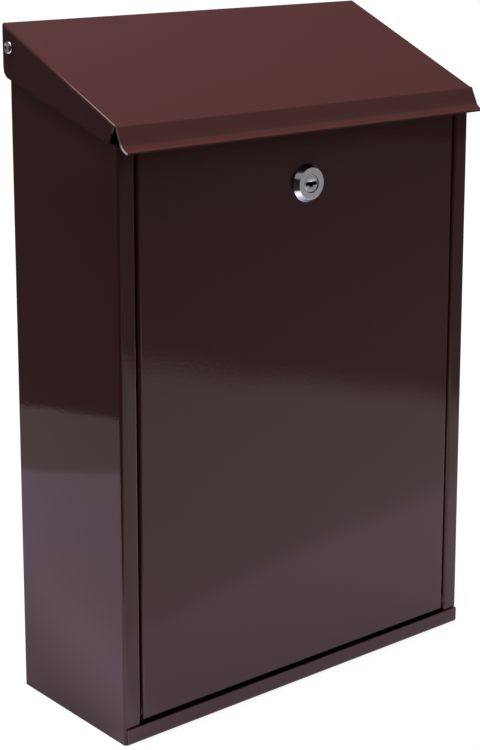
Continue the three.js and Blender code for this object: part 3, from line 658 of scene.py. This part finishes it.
# Moulded nylon: plain black, with a spark-eroded grain that spreads the light. The real grain is
# finer, and is drawn 0.3 mm wide so that it shows.
grain_size, grain_depth = 0.3 * mm, 0.02 * mm
nylon, tree = new_material("black_moulded_nylon")
place = add(tree, "ShaderNodeTexCoord").outputs["Object"]
grain = add(tree, "ShaderNodeTexNoise", {"Vector": place, "Scale": 1 / grain_size, "Detail": 2.0})
grain_bump = add(tree, "ShaderNodeBump", {
    "Height": grain.outputs["Fac"], "Strength": 0.5, "Distance": grain_depth,
})
plastic = add(tree, "ShaderNodeBsdfPrincipled", {
    "Base Color": linear("#1b1a1a"), "Roughness": 0.5, "Normal": grain_bump.outputs["Normal"],
})
add(tree, "ShaderNodeOutputMaterial", {"Surface": plastic.outputs[0]})
for side in ("left", "right"):
    washer = merged(f"door_hinge_washer_moulded_{side}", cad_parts[f"door_hinge_washer_{side}"].data)
    finish(washer, nylon, "box", [f"door_hinge_washer_{side}"], edge=0.1 * mm)
    pin = merged(f"door_hinge_pin_riveted_{side}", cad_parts[f"door_hinge_pin_{side}"].data)
    finish(pin, zinc, "box", [f"door_hinge_pin_{side}"], edge=0.1 * mm)

# ------------------------------------------------------------------ lock housing
# The cam lock's body is a zinc casting: a flat head with a broad bevel and a short rim, and a barrel
# with two flats. The head is turned, leaving fine rings on its face, and nickel-plated.
lock = np.array([0.0, 113.0]) * mm
head_front, head_back = -114.1, -110.3
face_radius, head_radius, rim = 9.0, 11.0, 0.8
bore, bore_step, barrel, flats = 5.3, 1.0, 8.0, 6.5
barrel_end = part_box("lock_housing")[1][1] / mm

# Bright nickel plate. The face keeps the lathe's rings and scatters the light. The real rings are
# finer, and are drawn 0.5 mm apart so that they show. The bevel is polished, so it mirrors the pale
# table and the dark cloth in hard patches.
ring_spacing, pit_size, mark_depth = 0.5 * mm, 1.5 * mm, 0.003 * mm
nickel, tree = new_material("bright_nickel_plate")
coordinates = add(tree, "ShaderNodeTexCoord")
place = coordinates.outputs["Object"]
from_lock = add(tree, "ShaderNodeVectorMath", {0: place, 1: (0, 0, lock[1])}, operation="SUBTRACT")
from_axis = add(tree, "ShaderNodeVectorMath", {0: from_lock.outputs[0], 1: (1, 0, 1)},
                operation="MULTIPLY")
off_axis = add(tree, "ShaderNodeVectorMath", {0: from_axis.outputs[0]}, operation="LENGTH")
ring = add(tree, "ShaderNodeMath", {0: off_axis.outputs["Value"], 1: 2 * math.pi / ring_spacing},
           operation="MULTIPLY")
ring = add(tree, "ShaderNodeMath", {0: ring.outputs[0]}, operation="SINE")
pits = add(tree, "ShaderNodeTexNoise", {"Vector": place, "Scale": 1 / pit_size, "Detail": 2.0})
marks = add(tree, "ShaderNodeMath", {0: ring.outputs[0], 1: pits.outputs["Fac"]}, operation="ADD")
facing = add(tree, "ShaderNodeSeparateXYZ", {0: coordinates.outputs["Normal"]})
facing = add(tree, "ShaderNodeMath", {0: facing.outputs["Y"]}, operation="ABSOLUTE")
turned_face = add(tree, "ShaderNodeMapRange", {
    "Value": facing.outputs[0], "From Min": 0.90, "From Max": 0.98,
})
face_marks = add(tree, "ShaderNodeMath", {0: marks.outputs[0], 1: turned_face.outputs[0]},
                 operation="MULTIPLY")
mark_bump = add(tree, "ShaderNodeBump", {
    "Height": face_marks.outputs[0], "Strength": 1.0, "Distance": mark_depth,
})
rough = add(tree, "ShaderNodeMapRange", {
    "Value": turned_face.outputs[0], "To Min": 0.12, "To Max": 0.55,
})

# Deep inside the keyway the metal is painted near-black: painted shade in the recess.
shade_depth = head_front + 0.8, head_front + 1.4
keyway_reach = 4.2 * mm
at = add(tree, "ShaderNodeSeparateXYZ", {0: place})
deep = add(tree, "ShaderNodeMapRange", {
    "Value": at.outputs["Y"], "From Min": shade_depth[0] * mm, "From Max": shade_depth[1] * mm,
})
in_plug = add(tree, "ShaderNodeMath", {0: off_axis.outputs["Value"], 1: keyway_reach},
              operation="LESS_THAN")
keyway_shade_mask = add(tree, "ShaderNodeMath", {0: deep.outputs["Result"], 1: in_plug.outputs[0]},
             operation="MULTIPLY")
# The near-black is painted shade for the keyway's depth.
plated, keyway_shade = linear("#e0e1e5"), linear("#26241f")
tint = add(tree, "ShaderNodeMix", {"Factor": keyway_shade_mask.outputs[0], 6: plated, 7: keyway_shade},
           data_type="RGBA")
metal = add(tree, "ShaderNodeBsdfPrincipled", {
    "Base Color": tint.outputs[2], "Metallic": 1.0, "Roughness": rough.outputs["Result"],
    "Normal": mark_bump.outputs["Normal"],
})
add(tree, "ShaderNodeOutputMaterial", {"Surface": metal.outputs[0]})

# The profile goes from the bore out over the face, the bevel and the rim, and back along the barrel,
# whose rings are cut flat above and below: a radius there is at most flats / |sin(angle)|.
head_line = folded([
    (bore, barrel_end - bore_step), (bore, head_front), (face_radius, head_front),
    (head_radius, head_back - rim), (head_radius, head_back), (barrel, head_back),
    (barrel, barrel_end), (bore, barrel_end), (bore, barrel_end - bore_step),
], [0.15, 0.25, 0.4, 0.15, 0.1, 0.3, 0.2], steps=5)
radius, along = round_rings(head_line * mm, 145)
angle = np.linspace(0, 2 * np.pi, radius.shape[1])
on_barrel = (along > (head_back + 0.2) * mm)[:, None]
cut_flat = flats * mm / np.maximum(np.abs(np.sin(angle)), 1e-6)
radius = np.where(on_barrel, np.minimum(radius, cut_flat), radius)
housing = turned("lock_housing_cast", (radius, along), "y", lock)
finish(housing, nickel, "door", ["lock_housing"], edge=0.05 * mm)

# ------------------------------------------------------------------ lock plug
# The plug is a nickel-plated zinc casting that turns in the housing. Its keyway is a level slot with
# a ward below its middle. A square tenon behind carries the cam, and a screw holds the cam on it.
face = head_front + 0.4
plug_radius, chamfer = 5.0, 0.4
chamfer_middle = 0.1, 0.12
slot_half, slot_rise = 3.7, 0.9
ward_half, ward_drop = 1.2, 1.8
slot_end = face + 9.0
mouth_edge, mouth_scoop = 0.45, 0.7
tenon_half = 3.0
tenon_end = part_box("lock_plug")[1][1] / mm
screw_radius, screw_end = 2.1, tenon_end - 7.1


def box_reach(angle, half_width, half_height):
    """How far a line at the angle goes from a rectangle's middle to its side: the shorter of
    half_width / |cos| and half_height / |sin|."""
    return np.minimum(half_width / np.maximum(np.abs(np.cos(angle)), 1e-9),
                      half_height / np.maximum(np.abs(np.sin(angle)), 1e-9))


# The rings go in by the screw's hole at the back, over the tenon and the plug, and down the keyway,
# whose mouth is chamfered all round and scooped wider at its top by sin(angle) squared.
angle = np.linspace(0, 2 * np.pi, 241)
upward = np.sin(angle)
ward = np.where(upward < 0, box_reach(angle, ward_half, ward_drop), 0)
keyway = np.maximum(box_reach(angle, slot_half, slot_rise), ward)
mouth = np.where(upward > 0, mouth_edge + mouth_scoop * upward ** 2, mouth_edge)
tenon = box_reach(angle, tenon_half, tenon_half)
circle = np.ones_like(angle)
rings = [
    (0 * circle, screw_end),
    (screw_radius * circle, screw_end),
    (screw_radius * circle, tenon_end),
    (tenon, tenon_end),
    (tenon, barrel_end),
    (plug_radius * circle, barrel_end),
    (plug_radius * circle, face + chamfer),
    ((plug_radius - chamfer_middle[0]) * circle, face + chamfer_middle[1]),
    ((plug_radius - chamfer) * circle, face),
    (keyway + mouth, face),
    (keyway, face + mouth_edge),
    (keyway, slot_end),
    (0 * circle, slot_end),
]
ring_radii = np.stack([ring_radius for ring_radius, _ in rings]) * mm
ring_places = np.array([ring_place for _, ring_place in rings]) * mm
plug = turned("lock_plug_cast", (ring_radii, ring_places), "y", lock)
finish(plug, nickel, "lock", ["lock_plug"], edge=0.04 * mm)

# ------------------------------------------------------------------ lock fixings
# Behind the door a toothed washer and a hexagon nut hold the lock, and a screw with its own washer
# holds the cam on the plug's tenon. All are stamped or turned steel with bright zinc plate.
for node, body in (("lock_washer", "door"), ("lock_nut", "door"), ("lock_cam", "lock"),
                   ("cam_washer", "lock"), ("cam_screw", "lock")):
    fixing = merged(f"{node}_plated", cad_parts[node].data)
    finish(fixing, zinc, body, [node], edge=0.12 * mm)
